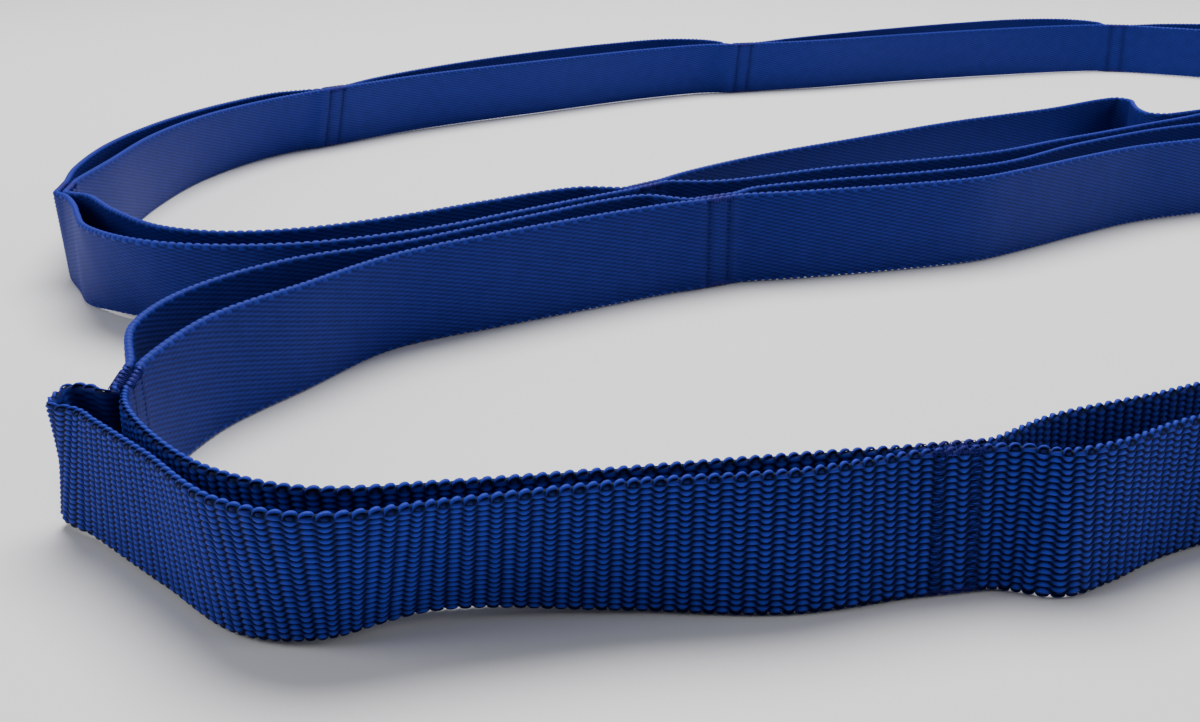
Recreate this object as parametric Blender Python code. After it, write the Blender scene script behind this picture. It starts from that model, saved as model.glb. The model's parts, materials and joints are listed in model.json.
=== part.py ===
"""A multi-loop exercise and mobility strap: two strips of flat nylon webbing sewn together at
intervals, so that they make a chain of ten hand loops. It stands on edge in four winding runs.

Metres, +Z up. The strap stands on z = 0, and the middle of its box is at x = y = 0. It is
followed from its folded end: loop_01, seam 1, loop_02 and so on to loop_10 and its sewn end.
Strip 1 is the one on the left on the way along, and strip 2 the one on the right.
"""

import math

import bpy
import bmesh
from mathutils import Vector

# Driving dimensions
WEB_WIDTH = 0.0254
WEB_THICKNESS = 0.0020
PLAN_SCALE = 1.0
LAYER_GAP = 0.0005  # between the two strips where they are sewn
SEAM_SPLIT = 0.0018  # the webbing is parted here at each seam, so that it can turn
ROW_SPACING = 0.0066  # between the two thread rows of a seam
THREAD_WIDTH = 0.0012
THREAD_HEIGHT = 0.0005
THREAD_CLEARANCE = 0.0003
THREAD_FOOT = 0.0010  # the thread rows end this far above the ground
FLAT_LENGTH = 0.0072  # the strips lie straight and flat about this far from a seam
FLAT_MIDDLE = FLAT_LENGTH * 0.6  # a second point of that straight stretch
FOLD_GAP = 0.0003  # between the strips' ends and the folded end
END_MARGIN = 0.0070  # from the sewn end's cut edge to its thread row
STATION_SPACING = 0.0065
TIGHT_BEND = 0.009  # a bend of this radius has twice as many stations
FEWEST_STATIONS = 8
CURVE_STEPS = 24  # from one point of a strip's line to the next
FOLD_STEPS = 12  # round the half turn of the folded end

MM = 0.001 * PLAN_SCALE

# Each seam's middle in plan, in millimetres, and the way the strap heads there, in degrees.
# The first and the last are the folded end and the sewn end.
SEAMS = [
    (236, 296, 200),
    (57, 219, 192),
    (-86, 254, 95),
    (32, 400, 31),
    (236, 534, 85),
    (13, 416, 226),
    (-151, 414, 98),
    (-110, 607, 50),
    (71, 751, 20),
    (284, 827, -15),
    (464, 746, -40),
]

# The points that each strip passes through between two seams, in plan, in millimetres.
LOOPS = [
    (
        [(205, 279), (165, 261), (125, 244), (98, 231), (84, 221), (75, 217), (68, 219)],
        [(212, 298), (165, 279), (125, 259), (98, 244), (77, 233)],
    ),
    (
        [(31, 210), (4, 208), (-24, 203), (-42, 197), (-56, 201), (-72, 218), (-88, 235),
         (-95, 242), (-93, 248)],
        [(30, 216), (4, 213), (-24, 209), (-44, 206), (-60, 212), (-73, 225), (-82, 239)],
    ),
    (
        [(-94, 284), (-90, 308), (-74, 334), (-48, 353), (-20, 376), (2, 396), (13, 402),
         (22, 398)],
        [(-80, 289), (-66, 314), (-49, 342), (-26, 360), (2, 380), (20, 392)],
    ),
    (
        [(44, 412), (71, 424), (98, 434), (124, 448), (152, 475), (174, 493), (192, 506),
         (212, 517), (227, 522)],
        [(57, 407), (84, 415), (110, 425), (128, 438), (150, 456), (174, 474), (198, 486),
         (221, 497), (235, 512)],
    ),
    (
        [(231, 544), (223, 540), (208, 528), (192, 516), (170, 499), (150, 484), (126, 465),
         (98, 451), (70, 440), (35, 421)],
        [(232, 550), (223, 546), (213, 540), (205, 536), (200, 538), (199, 546), (201, 558),
         (203, 568), (200, 573), (192, 569), (168, 549), (126, 521), (85, 488), (50, 459),
         (26, 434)],
    ),
    (
        [(-7, 396), (-22, 383), (-44, 365), (-70, 352), (-90, 350), (-106, 353), (-118, 360),
         (-130, 370), (-137, 380), (-142, 391), (-148, 402)],
        [(-6, 412), (-30, 396), (-54, 378), (-76, 366), (-94, 363), (-110, 369), (-128, 386),
         (-142, 403)],
    ),
    (
        [(-158, 440), (-161, 480), (-156, 530), (-144, 572), (-131, 595), (-122, 601)],
        [(-151, 450), (-151, 495), (-145, 538), (-132, 575), (-119, 596)],
    ),
    (
        [(-97, 634), (-72, 668), (-38, 706), (4, 744), (34, 764), (52, 763), (62, 754)],
        [(-78, 643), (-24, 690), (22, 728), (54, 747)],
    ),
    (
        [(100, 770), (150, 806), (200, 838), (240, 857), (266, 856), (277, 842)],
        [(106, 762), (156, 786), (214, 810), (258, 825)],
    ),
    (
        [(312, 832), (354, 826), (402, 801), (436, 771)],
        [(309, 812), (350, 788), (396, 777), (432, 768)],
    ),
]

ROOT_LOOP = 5  # the loop that the others hang on, half way along


def plan(x, y):
    return Vector((x * MM, y * MM))


def heading(degrees):
    angle = math.radians(degrees)
    return Vector((math.cos(angle), math.sin(angle)))


def left_of(direction):
    return Vector((-direction.y, direction.x))


def smooth_curve(points):
    """A fine line through the points: a Catmull-Rom curve whose knots are spaced by the square
    root of the distance, which keeps it from overshooting at a sharp bend."""
    first = points[0] * 2 - points[1]
    last = points[-1] * 2 - points[-2]
    through = [first, *points, last]
    line = []
    for a, b, c, d in zip(through, through[1:], through[2:], through[3:]):
        t0 = 0.0
        t1 = t0 + math.sqrt((b - a).length)
        t2 = t1 + math.sqrt((c - b).length)
        t3 = t2 + math.sqrt((d - c).length)
        for step in range(CURVE_STEPS):
            t = t1 + (t2 - t1) * step / CURVE_STEPS
            ab = a * ((t1 - t) / (t1 - t0)) + b * ((t - t0) / (t1 - t0))
            bc = b * ((t2 - t) / (t2 - t1)) + c * ((t - t1) / (t2 - t1))
            cd = c * ((t3 - t) / (t3 - t2)) + d * ((t - t2) / (t3 - t2))
            abc = ab * ((t2 - t) / (t2 - t0)) + bc * ((t - t0) / (t2 - t0))
            bcd = bc * ((t3 - t) / (t3 - t1)) + cd * ((t - t1) / (t3 - t1))
            line.append(abc * ((t2 - t) / (t2 - t1)) + bcd * ((t - t1) / (t2 - t1)))
    line.append(points[-1])
    return line


def stations(line):
    """Points along the line, closer together where it bends."""
    travelled = [0.0]
    for before, here, after in zip(line, line[1:], line[2:] + line[-1:]):
        length = (here - before).length
        turn = (here - before).angle(after - here, 0.0) if after != here else 0.0
        travelled.append(travelled[-1] + length + turn * TIGHT_BEND)
    count = max(FEWEST_STATIONS, round(travelled[-1] / STATION_SPACING))
    found = []
    i = 0
    for step in range(count):
        target = travelled[-1] * step / count
        while travelled[i + 1] < target:
            i += 1
        share = (target - travelled[i]) / (travelled[i + 1] - travelled[i])
        found.append(line[i].lerp(line[i + 1], share))
    return found + [line[-1]]


def seam_points(seam, side, distances):
    """Points on a strip's middle line at a seam, at these distances along the strap. side is 1
    for the strip on the left, and -1 for the one on the right."""
    x, y, degrees = SEAMS[seam]
    ahead = heading(degrees)
    aside = left_of(ahead) * side * (WEB_THICKNESS + LAYER_GAP) / 2
    return [plan(x, y) + aside + ahead * distance for distance in distances]


def strip_line(loop, side):
    """The middle line of one strip of a loop, from seam to seam."""
    leaving = [SEAM_SPLIT / 2, FLAT_MIDDLE, FLAT_LENGTH]
    arriving = [-FLAT_LENGTH, -FLAT_MIDDLE, -SEAM_SPLIT / 2]
    if loop == 1:
        leaving[0] = FOLD_GAP
    if loop == len(LOOPS):
        arriving = [-END_MARGIN - FLAT_LENGTH, -END_MARGIN, 0.0]
    between = [plan(x, y) for x, y in LOOPS[loop - 1][0 if side > 0 else 1]]
    points = seam_points(loop - 1, side, leaving) + between + seam_points(loop, side, arriving)
    return stations(smooth_curve(points))


def middle_of_plan():
    """The middle of the box round all the strips, which becomes x = y = 0."""
    every = [p for loop in range(1, len(SEAMS)) for side in (1, -1) for p in strip_line(loop, side)]
    low = Vector((min(p.x for p in every), min(p.y for p in every)))
    high = Vector((max(p.x for p in every), max(p.y for p in every)))
    return (low + high) / 2


def colour(name, rgb, roughness):
    material = bpy.data.materials.new(name)
    material.use_nodes = True
    shader = material.node_tree.nodes["Principled BSDF"]
    shader.inputs["Base Color"].default_value = (*rgb, 1.0)
    shader.inputs["Roughness"].default_value = roughness
    shader.inputs["Metallic"].default_value = 0.0
    material.diffuse_color = (*rgb, 1.0)
    return material


def pivot_of(loop):
    """The seam that the loop turns about: the one nearer to the root loop."""
    if loop == ROOT_LOOP:
        return MIDDLE
    x, y, _ = SEAMS[loop] if loop < ROOT_LOOP else SEAMS[loop - 1]
    return plan(x, y)


def add_node(name, mesh_maker, loop, material):
    """An object made of mesh_maker's bmesh, which holds plan coordinates, on the loop's pivot."""
    shape = mesh_maker()
    pivot = pivot_of(loop)
    bmesh.ops.translate(shape, verts=shape.verts, vec=(-pivot.x, -pivot.y, 0.0))
    bmesh.ops.recalc_face_normals(shape, faces=shape.faces)
    mesh = bpy.data.meshes.new(name)
    shape.to_mesh(mesh)
    shape.free()
    mesh.materials.append(material.copy())
    node = bpy.data.objects.new(name, mesh)
    node.parent = PIVOTS[loop]
    bpy.context.scene.collection.objects.link(node)
    return node


def webbing(line):
    """A flat strip on its edge: the section of the webbing taken along the line."""
    shape = bmesh.new()
    rings = []
    for i, point in enumerate(line):
        along = line[min(i + 1, len(line) - 1)] - line[max(i - 1, 0)]
        aside = left_of(along.normalized()) * WEB_THICKNESS / 2
        corners = [point - aside, point + aside]
        ring = [shape.verts.new((*corners[0], 0.0)), shape.verts.new((*corners[1], 0.0))]
        ring += [shape.verts.new((*corners[1], WEB_WIDTH)), shape.verts.new((*corners[0], WEB_WIDTH))]
        rings.append(ring)
    for ring, following in zip(rings, rings[1:]):
        for k in range(4):
            other = (k + 1) % 4
            shape.faces.new((ring[k], ring[other], following[other], following[k]))
    shape.faces.new(rings[0])
    shape.faces.new(rings[-1])
    return shape


def prism(outline, origin, across, along, depth):
    """An outline of (across, height) points, extruded along the strap."""
    shape = bmesh.new()
    near = []
    for offset, height in outline:
        spot = origin + across * offset - along * depth / 2
        near.append(shape.verts.new((spot.x, spot.y, height)))
    face = shape.faces.new(near)
    moved = bmesh.ops.extrude_face_region(shape, geom=[face])
    far = [item for item in moved["geom"] if isinstance(item, bmesh.types.BMVert)]
    bmesh.ops.translate(shape, verts=far, vec=(along.x * depth, along.y * depth, 0.0))
    return shape


def thread_row(seam, distance):
    """One row of stitches across the webbing, and over its upper edge. The stitches run through
    both strips, and are drawn here as the band of thread that lies on them."""
    x, y, degrees = SEAMS[seam]
    along = heading(degrees)
    inside = WEB_THICKNESS + LAYER_GAP / 2 + THREAD_CLEARANCE
    outside = inside + THREAD_HEIGHT
    under = WEB_WIDTH + THREAD_CLEARANCE
    top = under + THREAD_HEIGHT
    outline = [(outside, THREAD_FOOT), (outside, top), (-outside, top), (-outside, THREAD_FOOT)]
    outline += [(-inside, THREAD_FOOT), (-inside, under), (inside, under), (inside, THREAD_FOOT)]
    place = plan(x, y) + along * distance
    return prism(outline, place, left_of(along), along, THREAD_WIDTH)


def folded_end():
    """The half round where the webbing turns back on itself at the strap's first end."""
    x, y, degrees = SEAMS[0]
    along = heading(degrees)
    aside = left_of(along)
    centre = plan(x, y)
    inner = LAYER_GAP / 2
    outer = inner + WEB_THICKNESS
    angles = [math.pi * k / FOLD_STEPS for k in range(FOLD_STEPS + 1)]
    outline = [(math.cos(a) * outer, math.sin(a) * outer) for a in angles]
    outline += [(math.cos(a) * inner, math.sin(a) * inner) for a in reversed(angles)]
    shape = bmesh.new()
    low = []
    for sideways, back in outline:
        spot = centre + aside * sideways - along * back
        low.append(shape.verts.new((spot.x, spot.y, 0.0)))
    face = shape.faces.new(low)
    moved = bmesh.ops.extrude_face_region(shape, geom=[face])
    high = [item for item in moved["geom"] if isinstance(item, bmesh.types.BMVert)]
    bmesh.ops.translate(shape, verts=high, vec=(0.0, 0.0, WEB_WIDTH))
    return shape


def add_pivots():
    """An empty on each loop's hinge axis, each on the empty of the loop that it turns on."""
    pivots = {}
    order = [ROOT_LOOP]
    order += list(range(ROOT_LOOP - 1, 0, -1))
    order += list(range(ROOT_LOOP + 1, len(LOOPS) + 1))
    for loop in order:
        pivot = bpy.data.objects.new(f"pivot_{loop:02d}", None)
        bpy.context.scene.collection.objects.link(pivot)
        spot = pivot_of(loop)
        if loop == ROOT_LOOP:
            pivot.location = (0.0, 0.0, 0.0)
        else:
            parent = loop + 1 if loop < ROOT_LOOP else loop - 1
            pivot.parent = pivots[parent]
            offset = spot - pivot_of(parent)
            pivot.location = (offset.x, offset.y, 0.0)
        pivots[loop] = pivot
    return pivots


def add_loop(loop):
    """The two strips of one loop and its thread rows, one at each seam."""
    for strip, side in ((1, 1), (2, -1)):
        line = strip_line(loop, side)
        add_node(f"loop_{loop:02d}_strip_{strip}", lambda: webbing(line), loop, WEB_BLUE)
    if loop > 1:
        row = lambda: thread_row(loop - 1, ROW_SPACING / 2)
        add_node(f"loop_{loop:02d}_first_thread_row", row, loop, THREAD_NAVY)
    distance = -ROW_SPACING / 2
    if loop == len(LOOPS):
        distance = -END_MARGIN
    row = lambda: thread_row(loop, distance)
    add_node(f"loop_{loop:02d}_last_thread_row", row, loop, THREAD_NAVY)


for old in list(bpy.data.objects):
    bpy.data.objects.remove(old, do_unlink=True)

WEB_BLUE = colour("webbing_blue", (0.008, 0.050, 0.330), 0.62)
THREAD_NAVY = colour("thread_navy", (0.020, 0.016, 0.130), 0.70)
MIDDLE = middle_of_plan()
PIVOTS = add_pivots()
for number in range(1, len(LOOPS) + 1):
    add_loop(number)
add_node("loop_01_folded_end", folded_end, 1, WEB_BLUE)
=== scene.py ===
"""A multi-loop mobility strap of royal-blue nylon webbing, standing on its edge on a pale table.

The strap is two flat woven strips, sewn together across their width every 200 mm or so, which
makes a chain of ten hand loops. It is followed from its folded end, loop 1, to its sewn end.
"""

import json
import math

import bpy
import numpy as np
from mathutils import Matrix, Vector


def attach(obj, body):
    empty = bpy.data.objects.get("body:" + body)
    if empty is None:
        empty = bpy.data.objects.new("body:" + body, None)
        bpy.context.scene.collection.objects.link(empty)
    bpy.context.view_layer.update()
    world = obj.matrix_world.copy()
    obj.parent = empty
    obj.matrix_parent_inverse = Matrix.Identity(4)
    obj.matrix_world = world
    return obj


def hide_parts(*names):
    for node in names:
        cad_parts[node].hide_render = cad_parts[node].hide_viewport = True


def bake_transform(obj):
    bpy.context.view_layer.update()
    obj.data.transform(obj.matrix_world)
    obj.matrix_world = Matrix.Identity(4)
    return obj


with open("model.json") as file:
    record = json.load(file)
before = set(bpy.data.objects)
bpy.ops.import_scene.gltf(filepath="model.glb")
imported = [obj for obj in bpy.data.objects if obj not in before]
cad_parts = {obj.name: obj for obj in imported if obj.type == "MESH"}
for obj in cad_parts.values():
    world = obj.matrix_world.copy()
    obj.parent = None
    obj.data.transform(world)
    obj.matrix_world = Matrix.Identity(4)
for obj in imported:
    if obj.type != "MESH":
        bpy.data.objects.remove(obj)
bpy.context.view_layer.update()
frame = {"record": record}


# ---- The way the strap lies ----
# The strap is two strips of 25 mm webbing that stand on their edge and wind away in four runs.
# At the seams, which stand on the hinges of the CAD model, they are straight and flat. Between
# two seams each strip takes a line of its own, and leans a little.

WEB_WIDTH = 0.0254
WEB_THICKNESS = 0.0020
LAYER_GAP = 0.0005
FLAT_LENGTH = 0.0072
FLAT_MIDDLE = FLAT_LENGTH * 0.6
END_MARGIN = 0.0070
SETTLED_LEAN = 0.002
HEADING_STEP = 0.0004
MM = 0.001

# Where each seam stands in plan, in millimetres, and which way the strap heads there, in degrees.
# A third and a fourth length are the tilt: how far the upper edge stands to the left of the
# lower edge, and ahead of it.
SEAMS = [
    (236, 296, 200),
    (57, 219, 192, -2),
    (-86, 254, 95, 0, -4),
    (32, 400, 31),
    (236, 534, 85),
    (13, 416, 226),
    (-151, 414, 98, 2),
    (-110, 607, 50, -6),
    (71, 751, 20, -5),
    (284, 827, -15),
    (464, 746, -40),
]

# The points that each strip passes through between two seams: x and y in plan, and its tilt.
# The first list of a loop is for strip 1, on the left of the way along, and the second is for
# strip 2.
LOOPS = [
    (
        [(205, 279), (165, 261), (125, 244), (98, 231), (84, 221, -1), (75, 217, -3),
         (68, 219, -3)],
        [(212, 298), (165, 279), (125, 259), (98, 244), (77, 233, -1)],
    ),
    (
        [(31, 210), (4, 208, 5), (-24, 203, 10), (-42, 197, 7), (-56, 201, 4), (-72, 218, 2, -3),
         (-88, 235, 1, -6), (-95, 242, 0, -8), (-93, 248, 0, -6)],
        [(30, 216), (4, 213, 5), (-24, 209, 8), (-44, 206, 6), (-60, 212, 3), (-73, 225, 1),
         (-82, 239)],
    ),
    (
        [(-94, 284), (-90, 308), (-74, 334, -2), (-48, 353, -3), (-20, 376), (2, 396),
         (13, 402), (22, 398)],
        [(-80, 289), (-66, 314, -2), (-49, 342, -4), (-26, 360, -2), (2, 380), (20, 392)],
    ),
    (
        [(44, 412), (71, 424), (98, 434), (124, 448), (152, 475), (174, 493), (192, 506),
         (212, 517), (227, 522)],
        [(57, 407), (84, 415), (110, 425), (128, 438), (150, 456), (174, 474), (198, 486),
         (221, 497), (235, 512)],
    ),
    (
        [(231, 544), (223, 540), (208, 528), (192, 516), (170, 499), (150, 484), (126, 465),
         (98, 451), (70, 440), (35, 421)],
        [(232, 550), (223, 546), (213, 540), (205, 536), (200, 538), (199, 546), (201, 558),
         (203, 568), (200, 573), (192, 569), (168, 549), (126, 521), (85, 488), (50, 459),
         (26, 434)],
    ),
    (
        [(-7, 396), (-22, 383, 1), (-44, 365, 3), (-70, 352, 5), (-90, 350, 7),
         (-106, 353, 8), (-118, 360, 9), (-130, 370, 6, -3), (-137, 380, 1, -2),
         (-142, 391), (-148, 402)],
        [(-6, 412), (-30, 396, 1), (-54, 378, 3), (-76, 366, 5), (-94, 363, 6),
         (-110, 369, 7), (-128, 386, 4), (-142, 403, 1)],
    ),
    (
        [(-158, 440), (-161, 480, -2), (-156, 530, -5), (-144, 572, -7), (-131, 595, -7),
         (-122, 601, -7)],
        [(-151, 450), (-151, 495, -2), (-145, 538, -5), (-132, 575, -7), (-119, 596, -7)],
    ),
    (
        [(-97, 634, -6), (-72, 668, -4), (-38, 706, -2), (4, 744, -1), (34, 764, -2),
         (52, 763, -3), (62, 754, -4)],
        [(-78, 643, -6), (-24, 690, -5), (22, 728, -5), (54, 747, -5)],
    ),
    (
        [(100, 770, -2), (150, 806), (200, 838), (240, 857), (266, 856), (277, 842)],
        [(106, 762, -5), (156, 786, -4), (214, 810, -2), (258, 825)],
    ),
    (
        [(312, 832), (354, 826), (402, 801), (436, 771)],
        [(309, 812), (350, 788), (396, 777), (432, 768)],
    ),
]

hinges = {joint["name"]: joint["pos_m"] for joint in frame["record"]["behaviour"]["joints"]}
plan_origin = np.array(hinges["seam_1"][:2]) - np.array(SEAMS[1][:2]) * MM


def full_tilt(tilt):
    return np.array((*tilt, 0, 0)[:2]) * MM


def seam_place(seam):
    """The seam's middle in plan, the way along there and the way to its left, and its tilt."""
    x, y, degrees, *tilt = SEAMS[seam]
    angle = math.radians(degrees)
    ahead = np.array([math.cos(angle), math.sin(angle)])
    left = np.array([-ahead[1], ahead[0]])
    return plan_origin + np.array([x, y]) * MM, ahead, left, full_tilt(tilt)


def seam_points(seam, side, distances):
    spot, ahead, left, tilt = seam_place(seam)
    aside = left * side * (WEB_THICKNESS + LAYER_GAP) / 2
    return [np.array([*(spot + aside + ahead * d), *tilt]) for d in distances]


def smooth_curve(points, steps=24):
    """A fine line through the points: a Catmull-Rom curve whose knots are spaced by the square
    root of the distance in plan."""
    through = np.array([points[0] * 2 - points[1], *points, points[-1] * 2 - points[-2]])
    line = []
    for a, b, c, d in zip(through, through[1:], through[2:], through[3:]):
        t1 = math.sqrt(np.linalg.norm((b - a)[:2]))
        t2 = t1 + math.sqrt(np.linalg.norm((c - b)[:2]))
        t3 = t2 + math.sqrt(np.linalg.norm((d - c)[:2]))
        t = t1 + (t2 - t1) * np.arange(steps)[:, None] / steps
        ab = (a * (t1 - t) + b * t) / t1
        bc = (b * (t2 - t) + c * (t - t1)) / (t2 - t1)
        cd = (c * (t3 - t) + d * (t - t2)) / (t3 - t2)
        abc = (ab * (t2 - t) + bc * t) / t2
        bcd = (bc * (t3 - t) + cd * (t - t1)) / (t3 - t1)
        line.extend((abc * (t2 - t) + bcd * (t - t1)) / (t2 - t1))
    line.append(through[-2])
    return np.array(line)


def measured(line):
    """A route: a line of plan x, plan y, lean and rake, with the distance along it."""
    steps = np.linalg.norm(np.diff(line[:, :2], axis=0), axis=1)
    return line, np.concatenate([[0.0], np.cumsum(steps)])


def strip_route(side):
    """One strip's route from end to end, with the distance along it of each seam."""
    line = []
    seam_index = [0]
    for loop, strips in enumerate(LOOPS):
        points = seam_points(loop, side, [0.0, FLAT_MIDDLE, FLAT_LENGTH])
        for x, y, *tilt in strips[0 if side > 0 else 1]:
            spot = plan_origin + np.array([x, y]) * MM
            points.append(np.array([*spot, *full_tilt(tilt)]))
        margin = END_MARGIN if loop == len(LOOPS) - 1 else FLAT_MIDDLE
        points += seam_points(loop + 1, side, [-margin - FLAT_LENGTH * 0.4, -margin, 0.0])
        part = smooth_curve(points)
        line.extend(part[:-1])
        seam_index.append(len(line))
    line.append(part[-1])
    line, along = measured(np.array(line))
    return line, along, along[seam_index]


routes = {strip: strip_route(side) for strip, side in ((1, 1), (2, -1))}


def on_strap(route, distance, aside, rise):
    """Points on a strip that stands on its edge, from their distance along its route, how far
    they are to the left of its middle, and their height up it. The lean keeps the strip's width.
    Where the strip leans to the right by the settled lean, its lower edge is back on the table."""
    line, along = route[:2]
    distance, aside, rise = np.broadcast_arrays(distance, aside, rise)
    x, y, lean, rake = (np.interp(distance, along, line[:, k]) for k in range(4))
    ahead = [np.interp(distance + HEADING_STEP, along, line[:, k]) for k in range(2)]
    behind = [np.interp(distance - HEADING_STEP, along, line[:, k]) for k in range(2)]
    dx, dy = ahead[0] - behind[0], ahead[1] - behind[1]
    length = np.hypot(dx, dy)
    dx, dy = dx / length, dy / length
    lifted = np.clip(1 + lean / SETTLED_LEAN, 0, 1)
    lean, rake = lean / WEB_WIDTH, rake / WEB_WIDTH
    upright = np.sqrt(1 - lean**2 - rake**2)
    middle = rise - WEB_WIDTH / 2
    side = aside * np.sqrt(1 - lean**2) + middle * lean
    forward = middle * rake
    height = rise * upright + lifted * WEB_WIDTH * (1 - upright) - aside * lean
    return np.stack([x - dy * side + dx * forward, y + dx * side + dy * forward,
                     np.maximum(height, 0.0)], axis=-1)


# ---- The webbing ----
# Flat nylon webbing: warp yarns run along it, and each shows on the face for one weft thread and
# then dives under the next. The rows of one column sag and those of the next arch, which makes
# the wavy lines. At each edge the weft turns back in a small raised loop, one for each column.

WEFT_PITCH = 0.0021
WARP_YARNS = 42
EDGE_HEIGHT = 0.0011
LOW, HIGH = EDGE_HEIGHT, WEB_WIDTH - EDGE_HEIGHT
ROW_SPACING = 0.0066
SHOWN_WEFTS = 3

# How thick the cloth is under its yarns, from its middle, and how far they stand out of it. A
# coarse stretch has lower yarns, and weaker painted shade between them. A thread row presses
# them in, and gets painted shade there.
BODY_HALF = 0.00042
YARN_RELIEF = 0.00060
COARSE_RELIEF = 0.6 * YARN_RELIEF
COARSE_PAINTED_SHADE = (0.40, 0.28)
PRESS_REACH = 0.0013
PRESS_YARNS = 0.45
PRESS_BODY = 0.00006
PRESS_PAINTED_SHADE = 0.15

# The waves, as shares of a yarn's width: how far a row sags, and how wide a yarn shows.
ROW_SAG = 0.27
YARN_WIDTH = 0.88
YARN_SWELL = 0.05
YARN_TAPER = 2.0
DIVE = 0.70

# The edge: a groove runs along it on a coarse stretch, and a rounded bead stands on it, with
# painted shade between the beads. A looped edge is lower, and rises where a yarn stands out
# beside it. It has painted shade under the loops, darkest at its crest.
GROOVE_WIDTH = 0.0005
GROOVE_DEPTH = 0.00025
BEAD_OUT = (0.00060, 0.00040)
BEAD_UP = (0.00065, 0.00060)
BEAD_PAINTED_SHADE = (0.30, 0.48)
LOOPED_OUT = (0.00045, 0.00045)
LOOPED_UP = (0.00050, 0.00015)
LOOPED_PAINTED_SHADE = (0.05, 0.65)

# Where the mesh lines of a weft are, from -0.5 at its start to 0.5 at its end.
FINE_CUTS = np.array([-0.5, -0.32, -0.11, 0.11, 0.32])
MIDDLE_CUTS = np.array([-0.5, -0.2, 0.2])
FAR_CUTS = np.array([-0.5, 0.0])
AT_START = -0.49


def weft_counts(strip):
    """How many wefts each loop's strip has: an even number, so that the weave goes on through
    the seams without a fault."""
    seams = routes[strip][2]
    return [2 * round((b - a) / WEFT_PITCH / 2) for a, b in zip(seams, seams[1:])]


def weft_lines(start, pitch, first, last, cuts):
    """The distances of the mesh lines of the wefts from first to last, with each line's place in
    its weft, from -0.5 to 0.5, and the weft's number."""
    number = np.append(np.repeat(np.arange(first, last), len(cuts)), last)
    place = np.append(np.tile(cuts, last - first), -0.5)
    return start + (number + 0.5 + place) * pitch, place, number


def loop_wefts(strip, loop, first, last, cuts):
    seams = routes[strip][2]
    pitch = (seams[loop + 1] - seams[loop]) / weft_counts(strip)[loop]
    return weft_lines(seams[loop], pitch, first, last, cuts)


def yarns(heights, place, number, side, fine):
    """How far the warp yarns stand out of the cloth at these heights and places, from 0 to 1.
    A weft's first line is shared with the weft before it, so the yarns of both count there."""
    across = (heights - LOW) / (HIGH - LOW) * WARP_YARNS

    def of_weft(which, at):
        up = (which + side) % 2
        sag = np.where(up == 1, ROW_SAG, -ROW_SAG) * (1 - 2 * (2 * at) ** 2) * fine
        off = np.abs((across + sag - up + 1) % 2 - 1)
        width = YARN_WIDTH + (YARN_SWELL - YARN_TAPER * at**2) * fine
        return np.cos(at * math.pi * DIVE) * np.sqrt(np.clip(1 - (off / width) ** 2, 0, 1))

    own = of_weft(number, place)
    return np.where(place < AT_START, np.maximum(own, of_weft(number - 1, 0.5)), own)


def sewn_rows(strip):
    """The distances along a strip of the rows of stitches."""
    seams = routes[strip][2]
    rows = [s + d * ROW_SPACING / 2 for s in seams[1:-1] for d in (-1, 1)]
    return np.array([*rows, seams[-1] - END_MARGIN])


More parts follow.
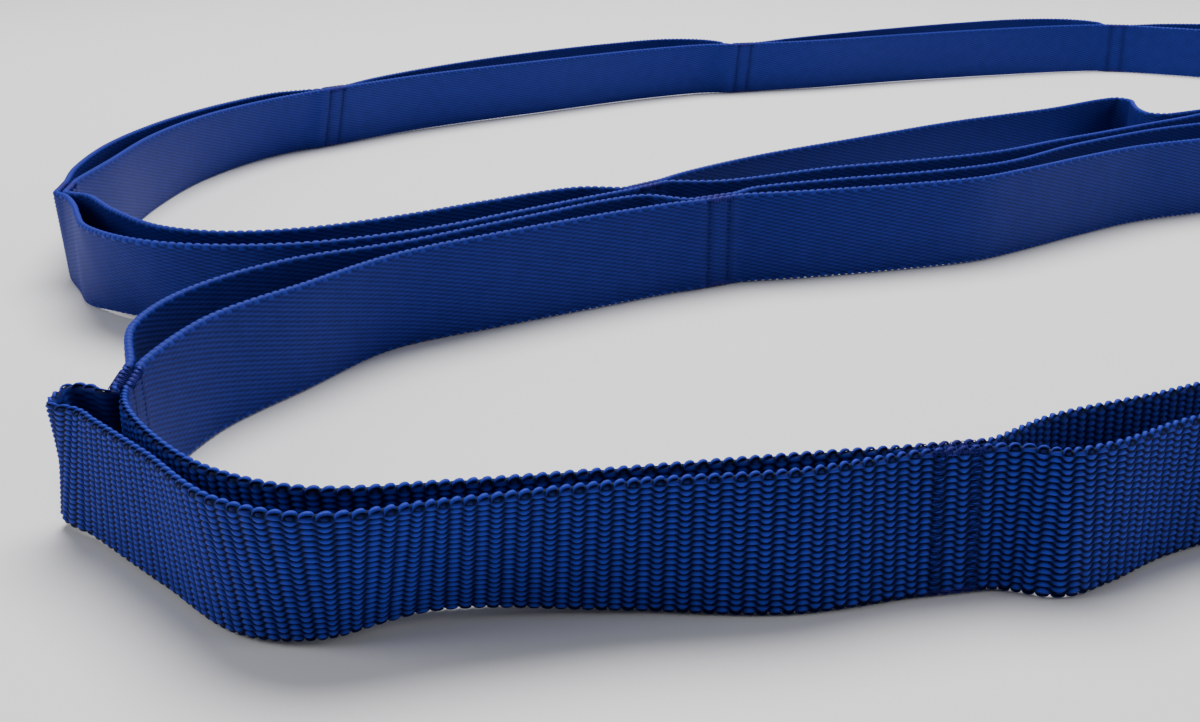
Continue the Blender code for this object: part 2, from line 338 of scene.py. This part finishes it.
def section(wefts, strip, rows, looped):
    """The closed outline of the webbing at each mesh line: up the left face, over the upper
    edge, down the right face and under the lower edge. It gives how far each point is to the
    left, its height, and its painted shading: painted shade where a yarn lies low, on the
    edge and in a thread row's groove."""
    distance, place, number = (values[:, None] for values in wefts)
    press = sum(np.exp(-(((distance - row) / PRESS_REACH) ** 2)) for row in sewn_rows(strip))
    arch = np.sqrt(np.clip(1 - (place / 0.53) ** 2, 0, 1))
    faces = []
    for side, count in zip((0, 1), rows):
        heights = np.linspace(LOW, HIGH, WARP_YARNS * count + 1)[None, :]
        stand = yarns(heights, place, number, side, count > 1)
        relief = YARN_RELIEF if count > 1 else COARSE_RELIEF
        body = BODY_HALF + YARN_RELIEF - relief
        out = body + relief * stand * (1 - PRESS_YARNS * press) - PRESS_BODY * press
        if not looped:
            groove = sum(
                np.exp(-(((heights - edge) / GROOVE_WIDTH) ** 2)) for edge in (HIGH, LOW)
            )
            out = out - GROOVE_DEPTH * groove * np.exp(-((place / 0.2) ** 2))
        # Painted shade: a yarn is coloured darker the lower it lies, for the shade in the hollows
        # of the weave. On a coarse stretch this painted shade is weaker.
        shown = stand if count > 1 else COARSE_PAINTED_SHADE[0] + COARSE_PAINTED_SHADE[1] * stand
        # Painted shade in the groove that a thread row presses in.
        painted_shading = shown * (1 - PRESS_PAINTED_SHADE * np.clip(press, 0, 1))
        faces.append((out, heights + 0 * out, painted_shading))
    turn = np.linspace(0, math.pi, 5 if looped else 7)[None, 1:-1]
    if looped:
        stood = [painted_shading[:, [k]] for k in (-1, 0) for _, _, painted_shading in faces]
        high = np.where(turn < math.pi / 2, stood[0], stood[1])
        edge_out = np.cos(turn) * (LOOPED_OUT[0] + LOOPED_OUT[1] * high)
        edge_up = np.sin(turn) * (LOOPED_UP[0] + LOOPED_UP[1] * high)
        # Painted shade under the loops: the edge is near black at its crest, and lighter on its
        # sides where a yarn stands out.
        edge_painted_shading = LOOPED_PAINTED_SHADE[0] + LOOPED_PAINTED_SHADE[1] * high * np.abs(np.cos(turn))
    else:
        edge_out = np.cos(turn) * (BEAD_OUT[0] + BEAD_OUT[1] * arch)
        edge_up = np.sin(turn) ** 0.8 * (BEAD_UP[0] + BEAD_UP[1] * arch)
        # Painted shade between the beads: each bead is darker towards its weft's ends.
        edge_painted_shading = BEAD_PAINTED_SHADE[0] + BEAD_PAINTED_SHADE[1] * arch * np.ones_like(edge_out)
    (out_l, up_l, tone_l), (out_r, up_r, tone_r) = faces
    back = slice(None, None, -1)
    aside = [out_l, edge_out, -out_r[:, back], edge_out[:, back]]
    rise = [up_l, HIGH + edge_up, up_r[:, back], LOW - edge_up[:, back]]
    painted_shading = [tone_l, edge_painted_shading, tone_r[:, back], edge_painted_shading[:, back]]
    return tuple(np.concatenate(parts, axis=1) for parts in (aside, rise, painted_shading))


def ring_faces(count, around):
    """Quads between rings of points, each ring following the one before."""
    index = np.arange(count * around).reshape(count, around)
    after = np.roll(index, -1, axis=1)
    return np.stack([index[:-1], after[:-1], after[1:], index[1:]], axis=-1).reshape(-1, 4)


# The weft's loops at the edges. Their colour is painted lighter on the outside of each loop and
# darker on its inside, as painted shade.
LOOP_RADIUS = 0.41
LOOP_YARN_HALF = 0.00023
LOOP_HALF_WIDTH = 0.00050
LOOP_SLANT = 0.00030
LOOP_PAINTED_SHADE = (0.50, 0.42)


def edge_loops(wefts, sides=6, steps=8):
    """The loops that the weft makes at both edges, as rings of a flattened tube: the distance
    along, the way to the left, the height and the painted shading of each point, one loop after
    another. Each tube is painted lighter on its outer side and darker on its inner side, as
    painted shade."""
    distance, place, _ = wefts
    starts = distance[place < AT_START]
    middles = ((starts[:-1] + starts[1:]) / 2)[:, None, None]
    pitch = np.diff(starts)[:, None, None]
    phi = np.radians(np.linspace(-90, 90, steps + 1))[None, :, None]
    around = np.linspace(0, 2 * math.pi, sides, endpoint=False)[None, None, :]
    taper = np.maximum(0.7, np.cos(phi * 0.5))
    radius = LOOP_RADIUS * pitch + np.cos(around) * LOOP_YARN_HALF * taper
    along = middles + np.sin(phi) * radius
    aside = np.sin(around) * LOOP_HALF_WIDTH * taper + 0 * along
    slant = LOOP_SLANT * np.sin(phi)
    crown = np.maximum(np.cos(phi), 0)
    upper = HIGH + crown**0.8 * radius
    lower = LOW - crown**0.4 * radius
    painted_shading = LOOP_PAINTED_SHADE[0] + LOOP_PAINTED_SHADE[1] * np.cos(around) * np.ones_like(along)
    # The lower loops, next to the table, get darker painted shade.
    return [(along, aside + slant, upper, painted_shading), (along, aside, lower, 0.6 * painted_shading)]


def end_normals(points, shape, ahead):
    """Normals for the first and last ring of a piece, square to the strip, so that the next
    piece takes up the shading without a line. The other points have none, and keep their own."""
    normals = np.zeros_like(points)
    rings = points[:shape[0] * shape[1]].reshape(*shape, 3)
    for ring in (0, -1):
        around = np.roll(rings[ring], -1, axis=0) - np.roll(rings[ring], 1, axis=0)
        square = np.cross(around, ahead.reshape(*shape, 3)[ring])
        square /= np.linalg.norm(square, axis=1)[:, None]
        outward = ((rings[ring] - rings[ring].mean(axis=0)) * square).sum()
        first = 0 if ring == 0 else (shape[0] - 1) * shape[1]
        normals[first:first + shape[1]] = square * np.sign(outward)
    return normals


def mesh_piece(name, points, faces, material, attributes, uv=None, flat_faces=0, normals=None):
    """A mesh piece. The last flat_faces faces are end caps, which are shaded flat."""
    mesh = bpy.data.meshes.new(name)
    mesh.vertices.add(len(points))
    mesh.vertices.foreach_set("co", points.reshape(-1).astype(np.float32))
    corners = np.concatenate([np.asarray(face).reshape(-1) for face in faces])
    sizes = np.concatenate([np.full(len(f), f.shape[1]) for f in faces])
    mesh.loops.add(len(corners))
    mesh.loops.foreach_set("vertex_index", corners.astype(np.int32))
    mesh.polygons.add(len(sizes))
    starts = np.concatenate([[0], np.cumsum(sizes)[:-1]])
    mesh.polygons.foreach_set("loop_start", starts.astype(np.int32))
    mesh.update(calc_edges=True)
    if uv is not None:
        layer = mesh.uv_layers.new(name="cloth")
        layer.data.foreach_set("uv", uv[corners].reshape(-1).astype(np.float32))
    for key, values in attributes.items():
        layer = mesh.attributes.new(key, "FLOAT", "POINT")
        layer.data.foreach_set("value", values.reshape(-1).astype(np.float32))
    smooth = np.ones(len(sizes), dtype=bool)
    smooth[len(sizes) - flat_faces:] = False
    mesh.polygons.foreach_set("use_smooth", smooth)
    if normals is not None:
        mesh.normals_split_custom_set_from_vertices(normals)
    mesh.materials.append(material)
    piece = bpy.data.objects.new(name, mesh)
    bpy.context.scene.collection.objects.link(piece)
    return piece


SEAM_TINT_REACH = 0.0046
EDGE_TINT_DEPTH = 0.0012
CLOTH_SCALE = 100
NORMAL_STEP = 0.0002


def webbing_piece(name, wefts, strip, rows, looped, material, route=None):
    """A stretch of one strip, with the loops at its edges as tubes where it is looped."""
    route = route or routes[strip]
    aside, rise, painted_shading = section(wefts, strip, rows, looped)
    distance = np.broadcast_to(wefts[0][:, None], aside.shape)
    count, around = aside.shape
    parts = [(distance, aside, rise, painted_shading)]
    faces = [ring_faces(count, around)]
    caps = [np.arange(around)[None, ::-1], (count - 1) * around + np.arange(around)[None, :]]
    if looped:
        total = count * around
        for part in edge_loops(wefts):
            many, steps, sides = part[0].shape
            tube = ring_faces(steps, sides)
            offsets = total + np.arange(many)[:, None, None] * steps * sides
            upper = part[2].mean() > WEB_WIDTH / 2
            ring = np.arange(sides)[None, :]
            first, last = ring[:, ::-1], (steps - 1) * sides + ring
            for block in (tube, first, last):
                turned = block if upper else block[:, ::-1]
                faces.append((turned[None] + offsets).reshape(-1, block.shape[1]))
            parts.append(part)
            total += many * steps * sides
    distance, aside, rise, painted_shading = (
        np.concatenate([np.broadcast_to(part[k], part[3].shape).reshape(-1) for part in parts])
        for k in range(4)
    )
    points = on_strap(route, distance, aside, rise)
    body = count * around
    after, before = (
        on_strap(route, distance[:body] + step, aside[:body], rise[:body])
        for step in (NORMAL_STEP, -NORMAL_STEP)
    )
    normals = end_normals(points, (count, around), after - before)
    away = np.abs(distance[:, None] - np.array(routes[strip][2][1:-1])[None, :]).min(axis=1)
    edges = np.abs(rise - WEB_WIDTH / 2) > WEB_WIDTH / 2 - EDGE_TINT_DEPTH
    tint = np.exp(-((away / SEAM_TINT_REACH) ** 2)) * edges
    uv = np.stack([distance, rise + np.where(aside > 0, 0.0, 0.1)], axis=1) * CLOTH_SCALE
    attributes = {"lit": painted_shading, "seam_tint": tint}
    return mesh_piece(name, points, faces + caps, material, attributes, uv, 2, normals)


# The painted shading of the webbing: painted shade in the hollows of the weave, half shade on the
# flanks, and the lit blue of the yarns' crests.
SHADED_HOLLOW_BLUE = (0.0006, 0.0008, 0.009, 1)
HALF_SHADED_BLUE = (0.0078, 0.0098, 0.106, 1)
LIT_YARN_BLUE = (0.0245, 0.0400, 0.430, 1)
EDGE_PURPLE = (0.022, 0.016, 0.170, 1)


def webbing_material():
    """Royal-blue nylon, with fine filaments along each yarn. Its colour carries painted shade:
    dark where the yarns dive under, lit blue where they stand out. The edges turn purple beside
    the thread of a seam."""
    material = bpy.data.materials.new("royal_blue_webbing")
    material.use_nodes = True
    nodes, links = material.node_tree.nodes, material.node_tree.links
    shader = nodes["Principled BSDF"]
    shader.inputs["Roughness"].default_value = 0.55
    shader.inputs["Specular IOR Level"].default_value = 0.16
    shader.inputs["Specular Tint"].default_value = (0.35, 0.55, 1.0, 1.0)

    lit = nodes.new("ShaderNodeAttribute")
    lit.attribute_name = "lit"
    # Painted shade from the lit attribute: dark in the hollows, lit blue on the crests.
    depth = nodes.new("ShaderNodeValToRGB")
    depth.color_ramp.elements[0].position = 0.08
    depth.color_ramp.elements[0].color = SHADED_HOLLOW_BLUE
    depth.color_ramp.elements[1].position = 0.92
    depth.color_ramp.elements[1].color = LIT_YARN_BLUE
    middle = depth.color_ramp.elements.new(0.45)
    middle.color = HALF_SHADED_BLUE
    links.new(lit.outputs["Fac"], depth.inputs["Fac"])

    uv = nodes.new("ShaderNodeUVMap")
    uv.uv_map = "cloth"
    stretch = nodes.new("ShaderNodeMapping")
    stretch.inputs["Scale"].default_value = (6.0, 90.0, 1.0)
    links.new(uv.outputs["UV"], stretch.inputs["Vector"])
    filaments = nodes.new("ShaderNodeTexNoise")
    filaments.inputs["Scale"].default_value = 1.6
    filaments.inputs["Detail"].default_value = 3.0
    filaments.inputs["Roughness"].default_value = 0.6
    links.new(stretch.outputs["Vector"], filaments.inputs["Vector"])
    patches = nodes.new("ShaderNodeTexNoise")
    patches.inputs["Scale"].default_value = 2.2
    patches.inputs["Detail"].default_value = 2.0
    links.new(uv.outputs["UV"], patches.inputs["Vector"])

    shade = nodes.new("ShaderNodeMath")
    shade.operation = "MULTIPLY_ADD"
    links.new(filaments.outputs["Fac"], shade.inputs[0])
    shade.inputs[1].default_value = 0.60
    shade.inputs[2].default_value = 0.50
    wander = nodes.new("ShaderNodeMath")
    wander.operation = "MULTIPLY_ADD"
    links.new(patches.outputs["Fac"], wander.inputs[0])
    wander.inputs[1].default_value = 0.36
    links.new(shade.outputs["Value"], wander.inputs[2])
    grey = nodes.new("ShaderNodeCombineColor")
    for channel in ("Red", "Green", "Blue"):
        links.new(wander.outputs["Value"], grey.inputs[channel])
    shaded = nodes.new("ShaderNodeMix")
    shaded.data_type = "RGBA"
    shaded.blend_type = "MULTIPLY"
    shaded.inputs["Factor"].default_value = 1.0
    links.new(depth.outputs["Color"], shaded.inputs["A"])
    links.new(grey.outputs["Color"], shaded.inputs["B"])

    tint = nodes.new("ShaderNodeAttribute")
    tint.attribute_name = "seam_tint"
    purple = nodes.new("ShaderNodeMix")
    purple.data_type = "RGBA"
    purple.blend_type = "MIX"
    links.new(tint.outputs["Fac"], purple.inputs["Factor"])
    links.new(shaded.outputs["Result"], purple.inputs["A"])
    purple.inputs["B"].default_value = EDGE_PURPLE
    links.new(purple.outputs["Result"], shader.inputs["Base Color"])

    bump = nodes.new("ShaderNodeBump")
    bump.inputs["Strength"].default_value = 0.35
    bump.inputs["Distance"].default_value = 0.00012
    links.new(filaments.outputs["Fac"], bump.inputs["Height"])
    links.new(bump.outputs["Normal"], shader.inputs["Normal"])
    return material


blue_webbing = webbing_material()
NEAR_LOOPS = (1, 2)
FAR_LOOPS = (7, 8, 9, 10)


def detail(loop, strip):
    """How finely a loop's webbing is drawn: mesh rows for each yarn on its left and right face,
    the mesh lines of a weft, and whether its edge loops are drawn one by one. It is finest where
    the strap is nearest."""
    if loop in NEAR_LOOPS:
        return ((3, 1) if strip == 1 else (2, 1)), FINE_CUTS, True
    return (1, 1), FAR_CUTS if loop in FAR_LOOPS else MIDDLE_CUTS, False


# ---- The folded end ----
# At the first end there is no cut edge: the webbing turns back on itself in a tight half round,
# and its two layers go on as the two strips of the first loop.

FOLD_LEAD = 0.001
FOLD_STEPS = 24


def fold_route():
    """The half round as a route, with a short straight lead before and after it."""
    spot, ahead, left, _ = seam_place(0)
    turn = (WEB_THICKNESS + LAYER_GAP) / 2
    angles = np.linspace(-math.pi / 2, math.pi / 2, FOLD_STEPS + 1)[:, None]
    arc = spot - ahead * np.cos(angles) * turn + left * np.sin(angles) * turn
    before, after = arc[0] + ahead * FOLD_LEAD, arc[-1] + ahead * FOLD_LEAD
    plan = np.concatenate([before[None], arc, after[None]])
    return measured(np.concatenate([plan, np.zeros_like(plan)], axis=1))


around_fold = fold_route()
fold_length = around_fold[1][-1] - 2 * FOLD_LEAD
wefts = weft_lines(FOLD_LEAD, fold_length / 2, 0, 2, FINE_CUTS)
rows, _, looped = detail(1, 1)
folded_end = webbing_piece(
    "folded_end_webbing", wefts, 1, rows, looped, blue_webbing, around_fold
)
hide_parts("loop_01_folded_end")
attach(folded_end, "loop_01")


# ---- The loops ----
# Each loop is two strips of the same nylon webbing, one on each side. They lie against each
# other at the seams, where they are sewn together, and stand open between them.


for loop in range(1, len(LOOPS) + 1):
    for strip in (1, 2):
        rows, cuts, looped = detail(loop, strip)
        wefts = weft_counts(strip)[loop - 1]
        first = 0 if loop == 1 else SHOWN_WEFTS
        last = wefts if loop == len(LOOPS) else wefts - SHOWN_WEFTS
        name = f"loop_{loop:02d}_webbing_{strip}"
        stretch = loop_wefts(strip, loop - 1, first, last, cuts)
        piece = webbing_piece(name, stretch, strip, rows, looped, blue_webbing)
        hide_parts(f"loop_{loop:02d}_strip_{strip}")
        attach(piece, f"loop_{loop:02d}")


# ---- The webbing at the seams ----
# Between its two thread rows the strap is one run of webbing, and on the real strap this is
# where it bends when a loop is turned. Each short stretch is drawn as one piece across the seam,
# from the last wefts of one loop to the first wefts of the next, and belongs to neither loop.


def blend_over_seam(piece):
    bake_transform(piece)


for seam in range(1, len(LOOPS)):
    for strip in (1, 2):
        rows, cuts, looped = detail(seam, strip)
        wefts = weft_counts(strip)[seam - 1]
        before = loop_wefts(strip, seam - 1, wefts - SHOWN_WEFTS, wefts, cuts)
        after = loop_wefts(strip, seam, 0, SHOWN_WEFTS, cuts)
        stretch = tuple(np.concatenate([a[:-1], b]) for a, b in zip(before, after))
        name = f"seam_{seam}_webbing_{strip}"
        piece = webbing_piece(name, stretch, strip, rows, looped, blue_webbing)
        blend_over_seam(piece)


# ---- The stitches ----
# Each seam is two rows of close zigzag in navy thread, from edge to edge through both strips, and
# the thread is carried over the upper edge from row to row. The sewn end has one row.

THREAD_RADIUS = 0.00010
THREAD_SIDES = 5
ZIGZAG_WIDTH = 0.0019
ZIGZAG_PITCH = 0.0009
ZIGZAG_POINTS = 6
ROW_ENDS = (0.0007, WEB_WIDTH - 0.0006)
WRAP_SLANT = 0.0003
WRAPS_REACH = 0.0043
WRAP_PITCH = 0.00095
STITCH_DIP = 0.00010
FACE_DEPTH = (WEB_THICKNESS + LAYER_GAP) / 2 + 0.00066


def tube(path, sides=THREAD_SIDES):
    """A thread along a path of points, as rings of points."""
    path = np.asarray(path)
    ahead = np.gradient(path, axis=0)
    ahead /= np.linalg.norm(ahead, axis=1)[:, None]
    across = np.cross(ahead, np.array([0.31, 0.22, 0.92]))
    across /= np.linalg.norm(across, axis=1)[:, None]
    other = np.cross(ahead, across)
    turn = np.linspace(0, 2 * math.pi, sides, endpoint=False)[None, :, None]
    rings = path[:, None] + THREAD_RADIUS * (
        np.cos(turn) * across[:, None] + np.sin(turn) * other[:, None]
    )
    return rings.reshape(-1, 3), ring_faces(len(path), sides)


def zigzag_row(route, distance, side):
    """One row of zigzag on one face, from the lower edge to the upper."""
    points = round(WEB_WIDTH / ZIGZAG_PITCH * ZIGZAG_POINTS)
    rise = np.linspace(*ROW_ENDS, points)
    swing = np.sin(rise / ZIGZAG_PITCH * 2 * math.pi)
    depth = FACE_DEPTH + STITCH_DIP * np.cos(rise / ZIGZAG_PITCH * 4 * math.pi)
    return on_strap(route, distance + swing * ZIGZAG_WIDTH / 2, side * depth, rise)


def over_edge(route, distance):
    """One turn of thread over the upper edges of both strips, which dips between them."""
    reach = FACE_DEPTH + STITCH_DIP
    aside = np.array([0.94, 1.05, 1.06, 0.92, 0.60, 0.25, 0, -0.25, -0.60, -0.92, -1.06, -1.05,
                      -0.94]) * reach
    drop = np.array([1.8, 1.3, 0.75, 0.4, 0.22, 0.45, 0.8, 0.45, 0.22, 0.4, 0.75, 1.3, 1.8]) * MM
    slant = np.linspace(-WRAP_SLANT, WRAP_SLANT, len(aside))
    return on_strap(route, distance + slant, aside, WEB_WIDTH - drop)


def stitches(name, seam, row_distances, wraps, material):
    """All the thread of one seam: a row of zigzag on both faces at each of the row distances, and
    a turn over the edge at each of the wraps."""
    spot, ahead, _, tilt = seam_place(seam)
    reach = 0.02
    ends = [[*(spot - ahead * reach), *tilt], [*(spot + ahead * reach), *tilt]]
    route = measured(np.array(ends))
    paths = [zigzag_row(route, reach + d, side) for d in row_distances for side in (-1, 1)]
    paths += [over_edge(route, reach + d) for d in wraps]
    points, faces = [], []
    total = 0
    for path in paths:
        ring, quads = tube(path)
        last = len(ring)
        faces += [quads + total, np.arange(total + THREAD_SIDES - 1, total - 1, -1)[None],
                  np.arange(total + last - THREAD_SIDES, total + last)[None]]
        points.append(ring)
        total += last
    points = np.concatenate(points)
    return mesh_piece(name, points, faces, material, {})


THREAD_HOLLOW = (0.0045, 0.007, 0.075, 1)
THREAD_CREST = (0.0110, 0.015, 0.180, 1)


def thread_material():
    """Navy thread with a purple cast, and the fine twist of its plies."""
    material = bpy.data.materials.new("navy_thread")
    material.use_nodes = True
    nodes, links = material.node_tree.nodes, material.node_tree.links
    shader = nodes["Principled BSDF"]
    shader.inputs["Roughness"].default_value = 0.60
    shader.inputs["Specular IOR Level"].default_value = 0.12
    shader.inputs["Specular Tint"].default_value = (0.35, 0.45, 1.0, 1.0)
    twist = nodes.new("ShaderNodeTexNoise")
    twist.inputs["Scale"].default_value = 2500.0
    twist.inputs["Detail"].default_value = 2.0
    where = nodes.new("ShaderNodeTexCoord")
    links.new(where.outputs["Object"], twist.inputs["Vector"])
    colour = nodes.new("ShaderNodeValToRGB")
    colour.color_ramp.elements[0].position = 0.3
    colour.color_ramp.elements[0].color = THREAD_HOLLOW
    colour.color_ramp.elements[1].position = 0.75
    colour.color_ramp.elements[1].color = THREAD_CREST
    links.new(twist.outputs["Fac"], colour.inputs["Fac"])
    links.new(colour.outputs["Color"], shader.inputs["Base Color"])
    bump = nodes.new("ShaderNodeBump")
    bump.inputs["Strength"].default_value = 0.4
    bump.inputs["Distance"].default_value = 0.00008
    links.new(twist.outputs["Fac"], bump.inputs["Height"])
    links.new(bump.outputs["Normal"], shader.inputs["Normal"])
    return material


navy_thread = thread_material()
rows = (-ROW_SPACING / 2, ROW_SPACING / 2)
wraps = np.arange(-WRAPS_REACH, WRAPS_REACH + 0.0001, WRAP_PITCH)
for seam in range(1, len(LOOPS)):
    piece = stitches(f"seam_{seam}_stitches", seam, rows, wraps, navy_thread)
    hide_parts(f"loop_{seam:02d}_last_thread_row", f"loop_{seam + 1:02d}_first_thread_row")
    blend_over_seam(piece)
piece = stitches("sewn_end_stitches", len(LOOPS), (-END_MARGIN,), (), navy_thread)
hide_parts("loop_10_last_thread_row")
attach(piece, "loop_10")


# ---- The table ----
# A plain table top of pale matt laminate lies under the strap. It is a hair below the lower
# edges, so that the two never share a surface.

TABLE_SIZE = 12
TABLE_DROP = 0.0002
TABLE_GREY = (0.84, 0.84, 0.84, 1)


def table_top():
    bpy.ops.mesh.primitive_plane_add(size=TABLE_SIZE, location=(0, 0, -TABLE_DROP))
    plane = bpy.context.object
    plane.name = "table_top"
    material = bpy.data.materials.new("pale_table")
    material.use_nodes = True
    shader = material.node_tree.nodes["Principled BSDF"]
    shader.inputs["Base Color"].default_value = TABLE_GREY
    shader.inputs["Roughness"].default_value = 0.6
    plane.data.materials.append(material)


table_top()


# ---- The light ----
# A broad soft light hangs overhead, a little behind the strap. Two weaker ones stand to the left
# and the right, and the room gives a dim cool light of its own.

def soft_light(name, place, aim, size, power):
    light = bpy.data.lights.new(name, "AREA")
    light.shape = "DISK"
    light.size = size
    light.energy = power
    lamp = bpy.data.objects.new(name, light)
    bpy.context.scene.collection.objects.link(lamp)
    lamp.location = place
    way = Vector(aim) - Vector(place)
    lamp.rotation_euler = way.to_track_quat("-Z", "Y").to_euler()


soft_light("overhead", (-0.1, 0.5, 1.5), (0, 0, 0), 1.3, 47)
soft_light("left", (-1.5, -0.5, 0.8), (-0.1, -0.2, 0), 0.9, 9)
soft_light("right", (1.4, -0.7, 0.7), (0.1, -0.2, 0), 0.9, 6)
world = bpy.data.worlds.new("studio")
bpy.context.scene.world = world
world.use_nodes = True
world.node_tree.nodes["Background"].inputs["Color"].default_value = (0.94, 0.96, 1.0, 1)
world.node_tree.nodes["Background"].inputs["Strength"].default_value = 0.20


# ---- The camera ----
# It stands on the near side of the strap, and looks across the table from just above it,
# 19 degrees down.

CAMERA_HEIGHT = 0.115
CAMERA_PITCH = 19.0
FOCAL_RATIO = 1.2325
SENSOR_WIDTH = 36.0
lens = bpy.data.cameras.new("camera")
lens.sensor_width = SENSOR_WIDTH
lens.lens = SENSOR_WIDTH * FOCAL_RATIO
lens.clip_start = 0.01
camera = bpy.data.objects.new("camera", lens)
bpy.context.scene.collection.objects.link(camera)
camera.location = (*plan_origin, CAMERA_HEIGHT)
camera.rotation_euler = (math.radians(90 - CAMERA_PITCH), 0, 0)
bpy.context.scene.camera = camera
